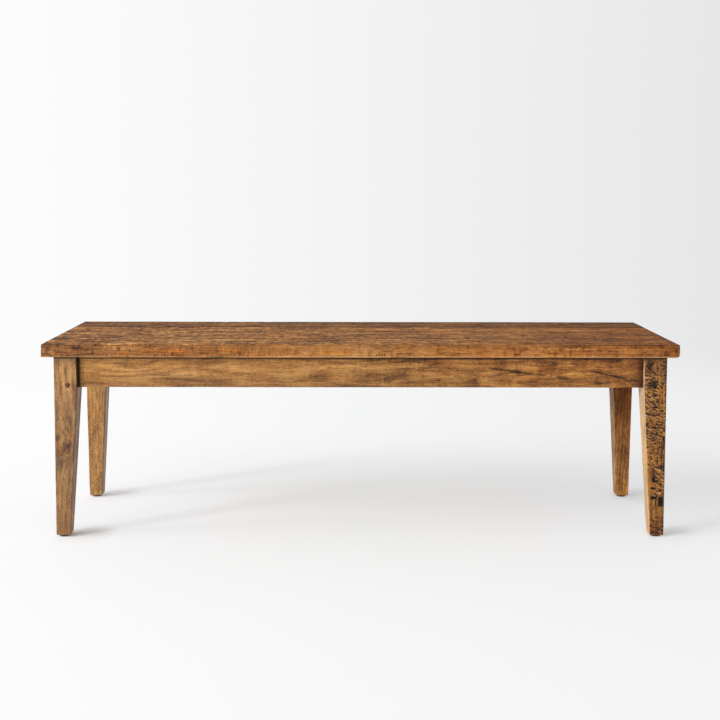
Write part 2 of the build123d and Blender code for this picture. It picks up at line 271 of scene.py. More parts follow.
    def shade(self, axis, table, face=None):
        """Multiplies the tone by colours that change along an axis, from a table."""
        places, *channels = np.array(table, float).T
        at = self.flat[:, axis]
        found = np.stack([np.interp(at, places / 1000, channel / 100) for channel in channels], axis=1)
        share = self.facing(*face)[:, None] if face else 1.0
        self.tone *= 1 + share * (found - 1)

    def wear(self, seed, dark, pale, axes, width=3.5 * MM):
        """Arrises with dirt on them in some places and worn pale in others."""
        patches = layered(self.flat, (0.02, 0.02, 0.02), seed)
        edge = self.arris(width, axes)
        self.add_dirt_and_shade(dark * edge * smooth(-0.15, 0.35, patches))
        self.add_wear_and_highlight(pale * edge * smooth(0.05, -0.4, patches))


def circle(count):
    angles = np.arange(count) * 2 * math.pi / count
    return np.stack([np.cos(angles), np.sin(angles), np.zeros(count)], axis=1)


def add_object(name, data):
    made = bpy.data.objects.new(name, data)
    bpy.context.scene.collection.objects.link(made)
    return made


def make_object(name, points, faces, material, smooth_faces=True):
    mesh = bpy.data.meshes.new(name)
    mesh.from_pydata(points.tolist(), [], faces)
    mesh.validate()
    mesh.polygons.foreach_set("use_smooth", [smooth_faces] * len(mesh.polygons))
    mesh.materials.append(material)
    mesh.update()
    return add_object(name, mesh)


def stand_in(piece, node):
    """Puts a piece in the place of its CAD node."""
    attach(piece, "root")
    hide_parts(node)


def dress(name, board, material, node, warp=None, flip=False):
    """Turns a board into a piece: its points move along their outward directions, then warp."""
    points = board.points + board.normal * board.height[:, None]
    quads = board.quads[:, ::-1] if flip else board.quads
    piece = make_object(name, warp(points) if warp else points, quads.tolist(), material)
    for key, values in (("stain_and_shade", board.stain_and_shade), ("pale", board.pale), ("figure", board.figure / 2)):
        layer = piece.data.attributes.new(key, "FLOAT", "POINT")
        layer.data.foreach_set("value", np.clip(values, 0, 1).astype(np.float32))
    tone = piece.data.attributes.new("tone", "FLOAT_VECTOR", "POINT")
    tone.data.foreach_set("vector", board.tone.astype(np.float32).ravel())
    stand_in(piece, node)


# Finishes


def srgb(red, green, blue):
    """An sRGB colour from 0 to 255, as the linear colour that a shader takes."""
    channels = [c / 255 for c in (red, green, blue)]
    linear = [c / 12.92 if c <= 0.04045 else ((c + 0.055) / 1.055) ** 2.4 for c in channels]
    return (*linear, 1.0)


class Value:
    """What a node gives; arithmetic with it makes math nodes."""

    def __init__(self, shader, socket):
        self.shader, self.socket = shader, socket

    def __add__(self, other):
        return self.shader.math("ADD", self, other)

    __radd__ = __add__

    def __sub__(self, other):
        return self.shader.math("SUBTRACT", self, other)

    def __rsub__(self, other):
        return self.shader.math("SUBTRACT", other, self)

    def __mul__(self, other):
        return self.shader.math("MULTIPLY", self, other)

    def __truediv__(self, other):
        return self.shader.math("DIVIDE", self, other)


class Shader:
    """The nodes of a material or world, with short names for those that the finishes use."""

    def __init__(self, owner, kind="OutputMaterial"):
        owner.use_nodes = True
        self.owner, self.tree = owner, owner.node_tree
        self.tree.nodes.clear()
        self.output = self.tree.nodes.new("ShaderNode" + kind)

    def node(self, kind, inputs=None, output=0, **settings):
        """Adds a node, fills its inputs by name or number and gives one of its outputs."""
        made = self.tree.nodes.new("ShaderNode" + kind)
        for key, value in settings.items():
            setattr(made, key, value)
        for key, value in (inputs or {}).items():
            if isinstance(value, Value):
                self.tree.links.new(value.socket, made.inputs[key])
            else:
                made.inputs[key].default_value = value
        return Value(self, made.outputs[output])

    def finish(self, value):
        self.tree.links.new(value.socket, self.output.inputs["Surface"])
        return self.owner

    def math(self, operation, first, second=0.0, clamp=False):
        return self.node("Math", {0: first, 1: second}, operation=operation, use_clamp=clamp)

    def larger(self, first, second):
        return self.math("MAXIMUM", first, second)

    def halfway(self, value, slope):
        """0.5 where the value is 0, and from 0 to 1 beside it."""
        return self.math("ADD", value * slope, 0.5, clamp=True)

    def vector(self, operation, first, second=(0, 0, 0)):
        output = "Value" if operation == "LENGTH" else "Vector"
        return self.node("VectorMath", {0: first, 1: second}, output, operation=operation)

    def part(self, vector, axis):
        return self.node("SeparateXYZ", {0: vector}, axis)

    def position(self):
        return self.node("TexCoord", output="Object")

    def attribute(self, name, output="Fac"):
        return self.node("Attribute", output=output, attribute_name=name)

    def place(self, vector, scale, location=(0, 0, 0)):
        return self.node("Mapping", {"Vector": vector, "Scale": scale, "Location": location})

    def noise(self, vector, detail, roughness=0.55, output=0):
        inputs = {"Vector": vector, "Scale": 1.0, "Detail": detail, "Roughness": roughness}
        return self.node("TexNoise", inputs, output)

    def span(self, value, low, high, to_low=0.0, to_high=1.0):
        inputs = {"Value": value, "From Min": low, "From Max": high, "To Min": to_low, "To Max": to_high}
        return self.node("MapRange", inputs, interpolation_type="SMOOTHSTEP")

    def mix(self, factor, first, second, blend="MIX"):
        settings = {"data_type": "RGBA", "blend_type": blend, "clamp_factor": True}
        return self.node("Mix", {0: factor, 6: first, 7: second}, 2, **settings)

    def choose(self, factor, first, second):
        return self.node("MixShader", {0: factor, 1: first, 2: second})

    def ramp(self, value, places, colours):
        made = self.node("ValToRGB", {"Fac": value})
        band = made.socket.node.color_ramp
        while len(band.elements) < len(places):
            band.elements.new(0.5)
        for element, place, colour in zip(band.elements, places, colours):
            element.position = place
            element.color = colour
        return made

    def bump(self, height, distance, strength=1.0):
        return self.node("Bump", {"Height": height, "Distance": distance, "Strength": strength})

    def surface(self, **sockets):
        """The principled surface; keys are its socket names with underscores for spaces."""
        inputs = {key.replace("_", " "): value for key, value in sockets.items()}
        return self.finish(self.node("BsdfPrincipled", inputs))


def stretched(wide, long, grain):
    """The scale for noise that is so many millimetres wide, and long along the grain."""
    scale = [1 / (wide * MM)] * 3
    scale[grain] = 1 / (long * MM)
    return scale


class Look:
    """How strongly each layer of a wood's figure shows."""

    broad, weather, cloud, flecks, grey = 0.5, 0.0, (20, 60), 0.0, 0.0
    streak, fibre, mottle, rings, curl = 0.85, 0.75, 0.7, 0.15, 0.0
    chatter, cracks, pores, holes, red = 0.4, 0.6, 0.5, 0.5, 0.5
    gloss, roughness = 0.25, 0.6

    def __init__(self, **strengths):
        vars(self).update(strengths)


def wood(name, grain, seed, palette, pith, look, ring=8 * MM):
    """A solid wood that runs through the board, so that end grain shows its rings.

    grain is the axis along the board, pith where the tree's middle lies on the other two axes,
    and palette four colours from dark to light.
    """
    s = Shader(bpy.data.materials.new(name))

    def at(place, wide, long, shift):
        location = (seed * 3.7 + shift, seed * 1.3 - shift, seed * 2.1 + shift)
        return s.place(place, stretched(wide, long, grain), location)

    def figure(place, wide, long, shift, detail, roughness=0.55):
        return s.noise(at(place, wide, long, shift), detail, roughness)

    # Grain lines that wander: each point is looked up a few millimetres to one side
    still = s.position()
    swing = [5 * MM] * 3
    swing[grain] = 0.0
    wander = s.noise(at(still, 45, 110, 31), 2, 0.5, "Color")
    offset = s.vector("MULTIPLY", s.vector("SUBTRACT", wander, (0.5, 0.5, 0.5)), swing)
    place = s.vector("ADD", still, offset)

    # Growth rings about a wavering pith
    waver = figure(place, 90, 420, 1, 2) - 0.5
    squares = [s.math("POWER", s.part(place, a) - centre, 2) for a, centre in zip(others(grain), pith)]
    radius = s.math("SQRT", squares[0] + squares[1]) + waver * (60 * MM)
    turn = s.math("FRACT", radius / ring)
    rings = s.span(turn, 0.3, 0.92) * s.span(turn, 1.0, 0.92)

    # Broad tone, streaks, fibres, mottling and weathering
    streak = figure(place, 6, 130, 9, 4, 0.62)
    fibre = figure(place, 1.7, 30, 13, 2, 0.65)
    layers = [
        (figure(place, 70, 330, 5, 2), look.broad),
        (streak, look.streak),
        (fibre, look.fibre),
        (figure(place, 3.4, 7, 19, 2, 0.65), look.mottle),
        (figure(place, *look.cloud, 67, 2, 0.6), look.weather),
    ]
    value = sum(((layer - 0.5) * strength for layer, strength in layers), 0.5) - rings * look.rings
    speck = figure(place, 17, 13, 71, 1)
    value = value - s.span(speck, 0.58, 0.7) * look.flecks
    value = value + s.span(speck, 0.42, 0.3) * (look.flecks * 0.6)
    strength = s.attribute("figure") * 2
    value = (value - 0.5) * strength + 0.5

    # A rippled, curly figure and the saw's chatter, both across the grain and in patches
    curl = (figure(place, 60, 17, 23, 1) - 0.5) * look.curl
    value = value + curl * (strength * strength)
    patch = s.span(figure(still, 60, 130, 41, 1), 0.5, 0.66)
    chatter = s.span(figure(place, 34, 4.6, 27, 1), 0.56, 0.66) * patch * strength
    value = s.math("ADD", value - chatter * (look.chatter * 0.4), 0, clamp=True)
    colour = s.ramp(value, (0.08, 0.38, 0.62, 0.92), palette)

    # Redder, yellower and greyer places
    hue = s.span(figure(place, 30, 210, 47, 3, 0.6), 0.4, 0.68)
    colour = s.mix(hue * look.red, colour, (1.02, 0.86, 0.66, 1.0), "MULTIPLY")
    cold = s.span(figure(place, 24, 60, 73, 2), 0.55, 0.7)
    colour = s.mix(cold * look.grey, colour, srgb(140, 124, 112))

    # Checks along the grain, pores and worm holes
    line = s.math("ABSOLUTE", figure(place, 6, 120, 53, 3) - 0.5)
    crack = s.span(line, 0.022, 0.004) * s.span(figure(still, 16, 90, 59, 2), 0.52, 0.62)
    pore = s.span(figure(place, 1.3, 11, 17, 1), 0.64, 0.74)
    cell = s.node("TexVoronoi", {"Vector": at(still, 23, 31, 61), "Scale": 1.0}, "Distance")
    hole = s.span(cell, 0.075, 0.045)
    dark = s.larger(s.larger(crack * look.cracks, pore * (look.pores * 0.6)), hole * look.holes)
    colour = s.mix(dark, colour, srgb(44, 27, 17))

    # What the mesh says: its tone, where it is worn pale and where it is stained or dirtied. All three
    # also carry painted light: shade under the seat and where the aprons meet the legs, a paler strip
    # on the front right leg, and highlights along some edges.
    tinted = s.mix(1.0, colour, s.attribute("tone", "Vector"), "MULTIPLY")
    rubbed_and_highlit = s.mix(s.attribute("pale"), tinted, srgb(226, 182, 130))
    stain_and_shade = s.attribute("stain_and_shade")
    height = fibre * 0.6 + streak * 0.6 - dark - chatter * (look.chatter * 0.5)
    dull = s.span(streak, 0.25, 0.8, look.roughness - 0.05, look.roughness + 0.1)
    return s.surface(
        Base_Color=s.mix(stain_and_shade, rubbed_and_highlit, srgb(26, 16, 10)),
        Roughness=s.larger(dull, stain_and_shade),
        Specular_IOR_Level=look.gloss,
        Normal=s.bump(height, 0.7 * MM, 0.7),
    )


def plain_wood(name, grain, seed, palette):
    """Planed, unfinished wood for the pieces under the seat."""
    s = Shader(bpy.data.materials.new(name))

    def fibres(wide, long, shift, detail, roughness):
        location = (seed + shift, seed - shift, shift)
        return s.noise(s.place(s.position(), stretched(wide, long, grain), location), detail, roughness)

    streak, fine = fibres(9, 220, 1, 4, 0.6), fibres(1.8, 60, 4, 2, 0.7)
    return s.surface(
        Base_Color=s.ramp(streak * 0.75 + fine * 0.3, (0.3, 0.5, 0.72), palette),
        Roughness=0.68,
        Specular_IOR_Level=0.3,
        Normal=s.bump(streak + fine, 0.3 * MM, 0.5),
    )


def steel(name):
    s = Shader(bpy.data.materials.new(name))
    cloud = s.noise(s.place(s.position(), (260, 260, 260)), 4)
    return s.surface(
        Base_Color=s.ramp(cloud, (0.3, 0.7), (srgb(150, 148, 140), srgb(196, 194, 186))),
        Metallic=1.0,
        Roughness=s.span(cloud, 0.3, 0.7, 0.28, 0.42),
    )


def rubbery(name):
    s = Shader(bpy.data.materials.new(name))
    cloud = s.noise(s.place(s.position(), (500, 500, 500)), 3)
    return s.surface(
        Base_Color=s.ramp(cloud, (0.3, 0.75), (srgb(26, 22, 20), srgb(48, 41, 37))),
        Roughness=0.62,
        Normal=s.bump(cloud, 0.15 * MM),
    )


# Camera, as the photograph's: a camera fitted to the bench's corners and edges


PHOTO_SIZE = 720
FOCAL_PX = 1052.44
CENTRE_ROW_PX = 258.29
CAMERA_PLACE = (-0.02350, -2.65043, 0.84585)
CAMERA_RIGHT = Vector((0.999964, -0.007986, 0.002695))
CAMERA_DOWN = Vector((0.002124, -0.070620, -0.997501))
SENSOR_MM = 36.0


def make_camera():
    data = bpy.data.cameras.new("camera")
    camera = add_object("camera", data)
    data.sensor_width = SENSOR_MM
    data.lens = FOCAL_PX * SENSOR_MM / PHOTO_SIZE
    data.shift_y = (CENTRE_ROW_PX - PHOTO_SIZE / 2) / PHOTO_SIZE
    data.clip_start = 0.05
    data.clip_end = 100.0
    back = CAMERA_RIGHT.cross(-CAMERA_DOWN)
    turned = Matrix((CAMERA_RIGHT, -CAMERA_DOWN, back)).transposed()
    camera.matrix_world = Matrix.Translation(CAMERA_PLACE) @ turned.to_4x4()
    bpy.context.scene.camera = camera


# Light: soft windows on the left, a plain sky and a white floor


# Azimuth from -X towards the front, elevation, width and height, in degrees, and how bright the
# window makes a white surface that faces it
WINDOWS = {
    "broad_window": (24, 32, 56, 44, 0.5),
    "strong_window": (29, 30, 5, 26, 0.24),
    "weak_window": (10, 30, 6, 26, 0.1),
    "low_window": (17, 6, 30, 10, 0.7),
}
WINDOW_DISTANCE = 20.0


def make_windows():
    """Soft area lights far off on the left."""
    for name, (*degrees, share) in WINDOWS.items():
        azimuth, elevation, width, height = [math.radians(angle) for angle in degrees]
        data = bpy.data.lights.new(name, "AREA")
        data.shape = "RECTANGLE"
        data.size = 2 * WINDOW_DISTANCE * math.tan(width / 2)
        data.size_y = 2 * WINDOW_DISTANCE * math.tan(height / 2)
        data.energy = share * (math.pi * WINDOW_DISTANCE) ** 2
        lamp = add_object(name, data)
        level = math.cos(elevation)
        towards = Vector((-math.cos(azimuth) * level, -math.sin(azimuth) * level, math.sin(elevation)))
        lamp.location = towards * WINDOW_DISTANCE
        lamp.rotation_euler = towards.to_track_quat("Z", "Y").to_euler()


SKY_LIGHT = 0.52
# Colours of the backdrop and of the floor from left to right. Both grow darker to the right:
# painted shade for the light falling off away from the windows on the left.
BACKDROP = [srgb(253, 253, 253), srgb(243, 243, 243), srgb(231, 231, 231)]
FLOOR = [srgb(254, 254, 254), srgb(249, 250, 250), srgb(247, 247, 247)]
LEFT_TO_RIGHT = (0.0, 0.5, 1.0)
BACKDROP_SLOPE, FLOOR_SLOPE = 1.5, 0.5


def seen_directly(s):
    """1 for rays from the camera and for those that a polished or clear surface passes on."""
    kinds = ("Is Camera Ray", "Is Glossy Ray", "Is Transmission Ray")
    camera, glossy, clear = [s.node("LightPath", output=kind) for kind in kinds]
    return s.larger(s.larger(camera, glossy), clear)


def make_world():
    """A plain sky that lights the bench, in front of which the camera sees the pale backdrop."""
    world = bpy.data.worlds.new("world")
    bpy.context.scene.world = world
    s = Shader(world, "OutputWorld")
    sideways = s.part(s.node("TexCoord", output="Generated"), X)
    tone = s.ramp(s.halfway(sideways, BACKDROP_SLOPE), LEFT_TO_RIGHT, BACKDROP)
    seen = s.node("Background", {"Color": tone})
    sky = s.node("Background", {"Color": WHITE, "Strength": SKY_LIGHT})
    s.finish(s.choose(seen_directly(s), sky, seen))


FLOOR_RADIUS = 6.0
FLOOR_SIDES = 64
FLOOR_FADE = (1.7, 3.4)
# How much of the true shadow the camera sees: everywhere, and close behind each foot
FLOOR_SHADOW = 0.5
FOOT_SHADOW = (0.94, 0.72, 0.74, 0.68)
FOOT_REACH = (0.028, 0.09)
FOOT_SHADOW_AT = (0.044, 0.008)
# Near the feet the white that the camera sees is painted a little bluer: painted light that cancels the
# warm light the wood bounces onto the floor there.
FEET_TINT = (1.0, 1.02, 1.045, 1.0)
FEET_TINT_REACH = (0.05, 0.4)


def make_floor():
    """A white floor that fades into the backdrop some way from the bench.

    The camera sees part of it as plain white, so that the shadow on it is as light as the
    photograph's.
    """
    s = Shader(bpy.data.materials.new("white_floor"))
    place = s.position()
    tone = s.ramp(s.halfway(s.part(place, X), FLOOR_SLOPE), LEFT_TO_RIGHT, FLOOR)
    nearest, shadow = 1.0, FLOOR_SHADOW
    for corner, seen in zip(CORNERS, FOOT_SHADOW):
        middle = middle_of(f"{corner}_glide")
        spot = (middle.x + FOOT_SHADOW_AT[0], middle.y + FOOT_SHADOW_AT[1], 0.0)
        away = s.vector("LENGTH", s.vector("SUBTRACT", place, spot))
        nearest = s.math("MINIMUM", away, nearest)
        shadow = s.larger(s.span(away, *FOOT_REACH, seen, FLOOR_SHADOW), shadow)
    neutral = s.mix(s.span(nearest, *FEET_TINT_REACH), FEET_TINT, WHITE)
    plain = s.node("Emission", {"Color": s.mix(1.0, tone, neutral, "MULTIPLY")})
    shaded = s.node("BsdfDiffuse", {"Color": tone})
    lit = s.choose(seen_directly(s) * (1.0 - shadow), shaded, plain)
    far = s.span(s.vector("LENGTH", place), *FLOOR_FADE)
    below = s.node("NewGeometry", output="Backfacing")
    s.finish(s.choose(s.larger(far, below), lit, s.node("BsdfTransparent")))
    ring = circle(FLOOR_SIDES) * FLOOR_RADIUS
    make_object("floor", ring, [list(range(FLOOR_SIDES))], s.owner, smooth_faces=False)


# Seat


SEAT_PALETTE = [srgb(64, 37, 20), srgb(128, 82, 47), srgb(166, 112, 66), srgb(214, 164, 110)]
FRAME_PALETTE = [srgb(70, 42, 22), srgb(142, 95, 53), srgb(180, 130, 78), srgb(212, 166, 110)]
PEG_PALETTE = [srgb(46, 25, 15), srgb(87, 50, 29), srgb(104, 62, 38), srgb(128, 84, 56)]
HIDDEN_PALETTE = [srgb(126, 96, 62), srgb(168, 134, 92), srgb(196, 164, 122)]

SEAT_LOOK = Look(
    weather=0.9, cloud=(18, 90), flecks=0.3, grey=0.1, streak=0.52, curl=0.2, cracks=0.9, pores=0.7,
    chatter=0.6, gloss=0.12, roughness=0.72,
)
PLANKS = 4
SEAM = 0.12 * MM
SEAT_STEP = mm(3.6, 3.0, 3.0)
FRONT_SEAT_STEP = mm(2.0, 3.2, 1.7)

# Tables of marks give the place on the face and the two half sizes, in millimetres, the angle in
# degrees, the depth in tenths of a millimetre, and how dark and, if it is, how pale the mark is,
# in per cent. Tables of tones give a place in millimetres and what multiplies the colour there,
# in per cent.
SEAT_FRONT_MARKS = [
    (-567, 459, 5.4, 5.4, 0, 6, 60), (-716, 444, 2.8, 2.6, 0, 4, 50), (-724, 440, 5, 2, 0, 3, 50),
    (-690, 441, 4, 1.8, 0, 3, 50), (-641, 458, 28, 2.2, 0, 2, 40), (-535, 456, 28, 2, 0, 2, 30),
    (-547, 442, 3.3, 2.8, 0, 5, 60), (-369, 452, 4, 3.1, 0, 5, 55), (-335, 452, 2.3, 5.2, 0, 5, 50),
    (-215, 451, 6.1, 8, 0, 3, 35), (-160, 462, 10.1, 1.4, -21, 4, 0, 50), (-104, 459, 2.8, 2.8, 0, 5, 50),
    (11, 454, 1.4, 10.9, 0, 0, 0, 35), (110, 455, 6.1, 1.4, 62, 3, 40), (116, 454, 6.1, 1.4, 62, 3, 40),
    (123, 455, 6.1, 1.4, 62, 3, 40), (129, 456, 5.6, 1.4, 62, 3, 40), (668, 452, 6, 2.6, 10, 3, 50),
    (676, 446, 4.5, 2.2, 0, 3, 45), (741, 455, 4, 7, 0, 3, 55),
]
FRONT_DOT = (2.6, 2.7, 0, 6, 85)
FRONT_DOTS = [
    (37, 445), (43, 446), (49, 446), (55, 446), (85, 447), (92, 447), (362, 447), (367, 447), (372, 447),
    (410, 445), (416, 445), (384, 459), (391, 461), (490, 464), (506, 463), (522, 460),
]
FRONT_EDGE_CUTS = [
    ((-390, -170), (446, 464), (4.8, 9), (6.8, 1.3), 86, 0.27, 7, 0.3, 0),
    ((-520, -100), (444, 462), (6.5, 9), (3.8, 1.2), 88, 0.16, 10, 0.4, 0),
    ((-606, -592), (444, 464), (5, 8), (4.6, 1.4), 88, 0.5, 8, 0.1, 0),
    ((60, 230), (444, 464), (6.5, 8), (4, 1.4), 66, 0.26, 11, 0.4, 0),
]
SEAT_TOP_MARKS = [
    (-503, 113, 21, 10.8, 0, 8, 60), (-452, 84, 31.3, 9.6, 0, 8, 60), (-390, -120, 18.1, 8.2, 0, 8, 50),
    (-259, -151, 25.1, 7.2, 0, 8, 50), (-262, -192, 18.8, 7, 0, 8, 50), (-90, -117, 8.2, 8.2, 0, 8, 55),
    (-67, -165, 12.4, 7.9, 0, 8, 50), (-107, -181, 14.7, 7.1, 0, 8, 50), (-1, 42, 38.7, 9.3, 0, 8, 45),
    (391, -26, 11.1, 8.8, 0, 8, 50),
]
SEAT_TOP_TONE = [(-750, 136, 142, 131), (0, 119, 125, 109), (750, 87, 72, 39)]
# Greyer places on the seat's top, in millimetres: place and half sizes
SEAT_TOP_GREYS = [
    (-728, -178, 22, 24), (-668, -150, 46, 14), (-604, -128, 30, 11), (-560, -172, 44, 10),
    (-470, 128, 70, 14), (-330, 112, 46, 10), (-200, -180, 50, 9), (40, 60, 46, 9), (352, 84, 60, 10),
]
GREY_TINT = (0.66, 0.74, 0.86)
REAR_PLANK_TONE = [(0, 58.5, 56.5, 51.5)]
END_GRAIN_TONE = [(0, 62, 58, 54)]
PLANK_TONES = (1.05, 1.0, 1.14, 1.05)
TOP_FIGURE, FRONT_FIGURE = 0.98, 0.62
SEAT_FRONT_TONE = [
    (-750, 80, 86, 95), (-660, 91, 94, 96), (-450, 110, 106, 95), (-300, 128, 128, 112),
    (-200, 138, 147, 134), (0, 142, 155, 140), (300, 130, 127, 102), (450, 112, 104, 85),
    (750, 106, 99, 79),
]
SEAT_FRONT_FADE = [(436, 106, 106, 103), (452, 105, 105, 102), (460, 94, 93, 92), (467, 86, 84, 84)]
# Orange and duller places on the seat's front edge: place, and half width or half sizes
ORANGE_PLACES = [(-556, 450, 17), (-494, 455, 34), (-436, 454, 46), (-300, 455, 40), (-60, 452, 60)]
DULL_PLACES = [(-736, 451, 13, 13), (-700, 457, 30, 7), (-646, 447, 22, 7)]


def plank_spans():
    """The front and back edge of each plank: a plank's box also holds its tongue."""
    fronts = [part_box(f"seat_plank_{n}")[0].y for n in range(1, PLANKS + 1)]
    return list(zip(fronts, fronts[1:] + [cad_high.y]))


def seat_plank(number, front, back):
    low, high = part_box(f"seat_plank_{number}")
    first, last = number == 1, number == PLANKS
    near, far = front if first else front + SEAM, back if last else back - SEAM

    def radius(p):
        """Seams stay nearly sharp; the seat's outer arrises are worn unevenly."""
        worn = 2.3 * MM + 1.1 * MM * layered(p, (0.09, 0.05, 0.05), 40 + number)
        below = smooth(high.z - 8 * MM, high.z - 20 * MM, p[:, Z])
        worn = worn * (1 - (0.8 if first else 0.45) * below)
        corner = smooth(14 * MM, 2 * MM, high.x - p[:, X]) * smooth(14 * MM, 2 * MM, p[:, Z] - low.z)
        worn = worn + 5 * MM * corner
        back_seam = (p[:, Y] > far - 5 * MM) & (not last)
        front_seam = (p[:, Y] < near + 5 * MM) & (not first)
        inside = np.minimum(p[:, X] - low.x, high.x - p[:, X]) > 6 * MM
        return np.where((back_seam | front_seam) & inside, 1.4 * MM, worn)

    step = FRONT_SEAT_STEP if first else SEAT_STEP
    board = Board((low.x, near, low.z), (high.x, far, high.z), step, radius)
    flat = board.flat
    top, seed = (Z, 1), 100 * number
    board.height -= 0.3 * MM * (1 + layered(flat, (0.16, 0.04, 0.04), 50 + number))
    hollows = smooth(0.25, 0.7, layered(flat, (0.05, 0.02, 0.02), 55 + number))
    board.height -= 0.5 * MM * hollows * board.facing(*top)
    board.scatter(top, 60, (8, 40), (3.5, 7), (0.1, 0.5), (0.1, 0.34), seed, 3)
    board.scatter(top, 80, (20, 90), (2.0, 3.4), (0.1, 0.4), (0.25, 0.6), seed + 1, 1.2)
    board.scatter(top, 90, (6, 24), (2.2, 3.6), (0.2, 0.5), (0.35, 0.75), seed + 9, 2)
    board.scatter(top, 30, (4, 9), (4, 8), (0.3, 0.9), (0.0, 0.3), seed + 2, 30)
    board.scatter((Z, -1), 40, (10, 60), (2.5, 5), (0.1, 0.4), (0.1, 0.35), seed + 3, 2)
    board.tone *= PLANK_TONES[number - 1]
    rougher = 0.32 * smooth(-0.05, -0.5, flat[:, X])
    board.figure += (TOP_FIGURE - 1 + rougher) * board.facing(*top)
    board.shade(X, SEAT_TOP_TONE, top)
    if last:
        board.shade(X, REAR_PLANK_TONE, top)
    bare, left_half = ((0, 0), (0, 0)), ((-0.74, -0.05), (front, back))
    board.scatter(top, 26, (8, 34), (6, 11), *bare, seed + 6, 3, 0, left_half, (0.8, 0.94, 1.15))
    board.scatter(top, 40, (4, 12), (5, 9), *bare, seed + 7, 6, tint=(0.74, 0.72, 0.7))
    board.scatter(top, 40, (16, 70), (4, 8), *bare, seed + 8, 1, tint=(1.13, 1.13, 1.12))
    board.marks(top, SEAT_TOP_MARKS)
    for x, y, long, wide in SEAT_TOP_GREYS:
        board.mark(top, mm(x, y), mm(long, wide), 1.5, tint=GREY_TINT, soft=0.1)
    board.mark(top, mm(-450, -190), mm(260, 18), tint=(0.84, 0.84, 0.86), soft=0.2)
    board.add_dirt_and_shade(0.75 * board.arris(7 * MM, (X, Z)) * board.facing(*top))
    if not first:
        board.add_dirt_and_shade(0.9 * smooth(3.6 * MM, 0.8 * MM, flat[:, Y] - board.low[Y]))
    if not last:
        board.add_dirt_and_shade(0.9 * smooth(3.6 * MM, 0.8 * MM, board.high[Y] - flat[:, Y]))
    for sign in (-1, 1):
        board.shade(X, END_GRAIN_TONE, (X, sign))
        board.scatter((X, sign), 14, (2, 8), (0.8, 1.6), (0.2, 0.5), (0.3, 0.6), seed + 5 + sign, 14, 90)
    return board


def finish_front_edge(board):
    """The seat's front edge, which faces the camera."""
    face, flat = (Y, -1), board.flat
    rougher = 0.2 * smooth(-0.52, -0.68, flat[:, X])
    calmer = 0.2 * smooth(0.42, 0.25, abs(flat[:, X]))
    board.figure += (FRONT_FIGURE - 1 + rougher - calmer) * board.facing(*face)
    board.shade(X, SEAT_FRONT_TONE, face)
    board.shade(Z, SEAT_FRONT_FADE, face)
    board.chatter(face, FRONT_EDGE_CUTS)
    board.scatter(face, 90, (4, 22), (1.4, 2.2), (0.1, 0.3), (0.08, 0.24), 9, 5)
    board.marks(face, SEAT_FRONT_MARKS)
    board.marks(face, [(x, z, *FRONT_DOT) for x, z in FRONT_DOTS])
    for x, z, half in ORANGE_PLACES:
        board.mark(face, mm(x, z), mm(half, 8), tint=(1.32, 1.1, 0.68), soft=0.15)
    for x, z, *half in DULL_PLACES:
        board.mark(face, mm(x, z), mm(*half), tint=(0.8, 0.8, 0.84), soft=0.1)
    # Painted highlight: a pale line along the front edge's lower arris, where the rounded arris catches the
    # light.
    lower = smooth(5 * MM, 1 * MM, flat[:, Z] - board.low[Z]) * board.facing(*face)
    board.add_wear_and_highlight(0.62 * lower * (0.5 + 0.5 * layered(flat, (0.03, 0.03, 0.03), 77)))
    upper = smooth(4 * MM, 0.5 * MM, board.high[Z] - flat[:, Z]) * smooth(0.1, 0.5, -board.normal[:, Y])
    patches = smooth(-0.3, 0.4, layered(flat, (0.05, 0.03, 0.03), 78))
    board.add_dirt_and_shade(upper * np.maximum(0.4 * patches, 0.6 * smooth(0.54, 0.6, flat[:, X])))


def make_seat():
    for number, (front, back) in enumerate(plank_spans(), start=1):
        board = seat_plank(number, front, back)
        if number == 1:
            finish_front_edge(board)
        if number == PLANKS:
            board.scatter((Y, 1), 80, (4, 30), (1.5, 3), (0.1, 0.4), (0.15, 0.4), 17, 5)
            rear = smooth(15 * MM, 5 * MM, board.high[Y] - board.flat[:, Y])
            board.add_dirt_and_shade(0.6 * rear * board.facing(Z, 1))
        pith = ((front + back) / 2 + 0.02 * (number - 2.5), cad_high.z - (0.11 + 0.03 * number))
        finish = wood(f"seat_wood_{number}", X, number, SEAT_PALETTE, pith, SEAT_LOOK)
        dress(f"worn_seat_plank_{number}", board, finish, f"seat_plank_{number}")


# Legs


LEG_LOOK = dict(
    weather=0.75, cloud=(14, 40), streak=0.5, fibre=0.5, cracks=0.4, chatter=0.2, red=0.36, roughness=0.5
)
LEG_GLOSS = (0.5, 0.3, 0.5, 0.2)
RIGHT_LEG_STEP = mm(2.4, 2.4, 3.0)
LEFT_LEG_STEP = mm(1.5, 2.2, 1.7)
MARKED_LEG_STEP = mm(1.1, 2.2, 1.15)
FOOT_WIDTH = 33 * MM
TAPER_DROP = 4 * MM

